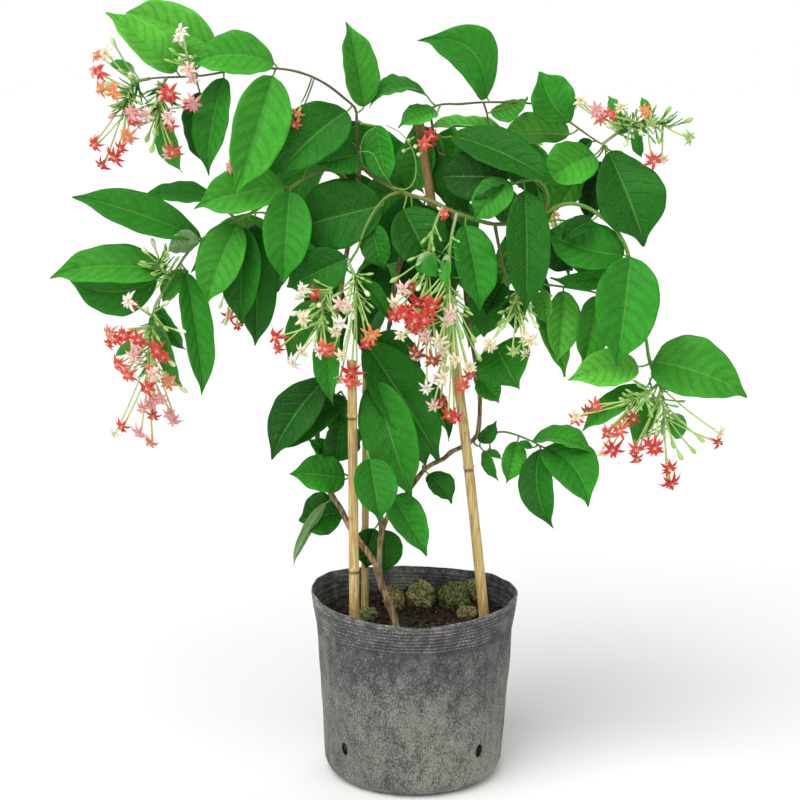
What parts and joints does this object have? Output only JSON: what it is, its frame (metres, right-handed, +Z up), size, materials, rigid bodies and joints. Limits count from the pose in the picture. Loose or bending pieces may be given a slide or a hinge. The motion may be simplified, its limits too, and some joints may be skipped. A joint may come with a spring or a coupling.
{
  "type": "potted climbing plant",
  "caption": "Flowering vine with glossy leaves and starry hanging flower heads, climbing bamboo stakes in a soft round nursery bag of soil.",
  "frame": {"origin": "centre of the bag's flat base", "axes": "+Z up along the stakes, -Y towards the side that the picture shows, +X to its right"},
  "size_m": [0.8048, 0.416, 0.9227],
  "materials": {
    "bag": "weathered matte",
    "soil": "rough, damp",
    "moss": "rough, mossy",
    "bamboo": "satin",
    "bark": "rough",
    "leaves": "satin",
    "petals": "matte"
  },
  "bodies": {
    "root": {"bag": "bag", "flower_spray_back_left": "petals", "flower_spray_back_middle": "petals", "flower_spray_back_right": "petals", "flower_spray_centre_front": "petals", "flower_spray_centre_left": "petals", "flower_spray_left": "petals", "flower_spray_left_high": "petals", "flower_spray_middle": "petals", "flower_spray_middle_left": "petals", "flower_spray_middle_right": "petals", "flower_spray_right_inner": "petals", "flower_spray_right_outer": "petals", "flower_spray_top_left_high": "petals", "flower_spray_top_left_inner": "petals", "flower_spray_top_left_outer": "petals", "flower_spray_top_right": "petals", "leafy_shoot_back_high_left": "leaves", "leafy_shoot_back_high_right": "leaves", "leafy_shoot_back_left": "leaves", "leafy_shoot_back_low": "leaves", "leafy_shoot_back_middle": "leaves", "leafy_shoot_back_right": "leaves", "leafy_shoot_centre": "leaves", "leafy_shoot_inner": "leaves", "leafy_shoot_left": "leaves", "leafy_shoot_low_left": "leaves", "leafy_shoot_low_middle": "leaves", "leafy_shoot_low_right": "leaves", "leafy_shoot_middle_right": "leaves", "leafy_shoot_right": "leaves", "leafy_shoot_top_left": "leaves", "leafy_shoot_top_right": "leaves", "leafy_spur_base_left": "leaves", "leafy_spur_base_middle": "leaves", "leafy_spur_front": "leaves", "leafy_spur_low_left": "leaves", "leafy_spur_low_right": "leaves", "leafy_spur_right": "leaves", "leafy_spur_twig": "leaves", "leafy_spur_twig_right": "leaves", "mossy_lump_1": "moss", "mossy_lump_2": "moss", "mossy_lump_3": "moss", "mossy_lump_4": "moss", "mossy_lump_5": "moss", "mossy_lump_6": "moss", "mossy_lump_7": "moss", "soil": "soil", "stake_left": "bamboo", "stake_rear": "bamboo", "stake_right": "bamboo", "woody_vine": "bark"}
  },
  "joints": []
}
